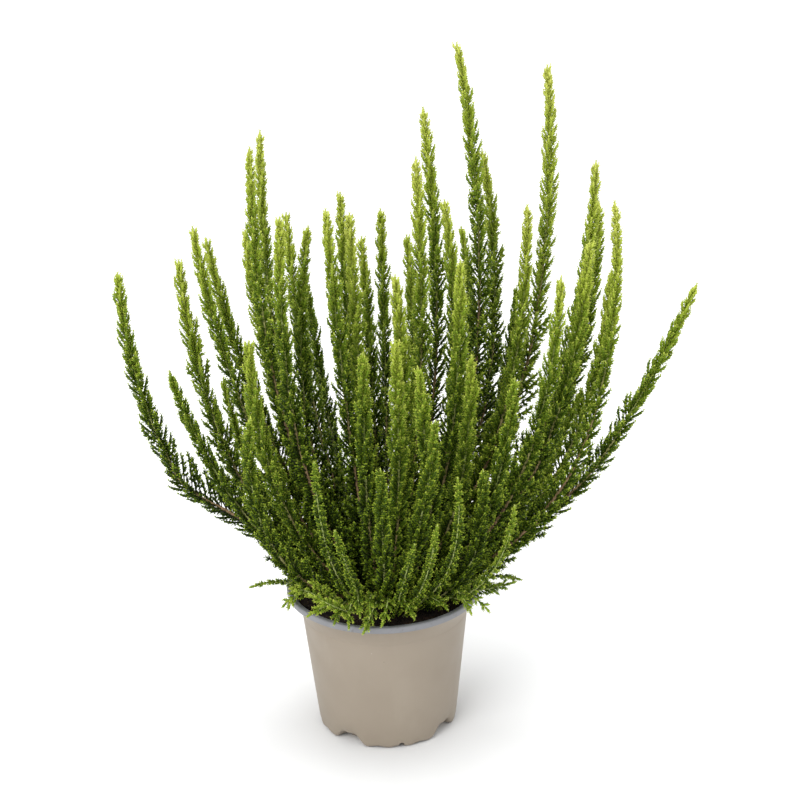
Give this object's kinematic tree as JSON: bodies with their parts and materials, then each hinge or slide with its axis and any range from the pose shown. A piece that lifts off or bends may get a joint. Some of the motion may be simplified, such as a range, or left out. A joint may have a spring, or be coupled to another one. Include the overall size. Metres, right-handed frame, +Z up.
{
  "type": "potted heather",
  "caption": "Upright heather in a round plastic nursery pot, its slender scale-leaved green stems rising and fanning out from the peat.",
  "frame": {"origin": "middle of the flat underside of the pot, on the surface that it stands on", "axes": "+Z up along the pot's axis, -Y towards the picture's camera, +X to the picture's right"},
  "size_m": [0.3402, 0.2472, 0.415],
  "materials": {
    "pot": "taupe moulded plastic, slightly dusty",
    "pot_inside": "grey plastic layer on the lip and the inside",
    "peat": "damp dark peat with fibres",
    "bark": "thin brown bark of the older stems",
    "foliage": "matte scale leaves, deep green at the base to yellow-green at the tips"
  },
  "bodies": {
    "root": {"pot": "pot", "soil": "peat", "stem_left_a": "foliage", "stem_left_b": "foliage", "stem_left_c": "foliage", "stem_left_d": "foliage", "stem_left_e": "foliage", "stem_left_f": "foliage", "stem_left_g": "foliage", "stem_left_h": "foliage", "stem_left_i": "foliage", "stem_tall_a": "foliage", "stem_tall_b": "foliage", "stem_tall_c": "foliage", "stem_tall_d": "foliage", "stem_mid_a": "foliage", "stem_mid_b": "foliage", "stem_mid_c": "foliage", "stem_mid_d": "foliage", "stem_mid_e": "foliage", "stem_mid_f": "foliage", "stem_mid_g": "foliage", "stem_mid_h": "foliage", "stem_mid_i": "foliage", "stem_mid_j": "foliage", "stem_mid_k": "foliage", "stem_mid_l": "foliage", "stem_mid_m": "foliage", "stem_mid_n": "foliage", "stem_mid_o": "foliage", "stem_mid_p": "foliage", "stem_mid_q": "foliage", "stem_mid_r": "foliage", "stem_mid_s": "foliage", "stem_right_a": "foliage", "stem_right_b": "foliage", "stem_right_c": "foliage", "stem_right_d": "foliage", "stem_right_e": "foliage", "stem_right_f": "foliage", "stem_right_g": "foliage", "stem_right_h": "foliage", "stem_right_i": "foliage", "stem_right_j": "foliage", "stem_right_k": "foliage", "stem_front_a": "foliage", "stem_front_b": "foliage", "stem_front_c": "foliage", "stem_front_d": "foliage", "stem_front_e": "foliage", "stem_front_f": "foliage", "stem_front_g": "foliage", "stem_front_h": "foliage", "stem_front_i": "foliage", "stem_front_j": "foliage", "stem_front_k": "foliage", "stem_low_a": "foliage", "stem_low_b": "foliage", "stem_low_c": "foliage", "stem_low_d": "foliage"}
  },
  "joints": []
}
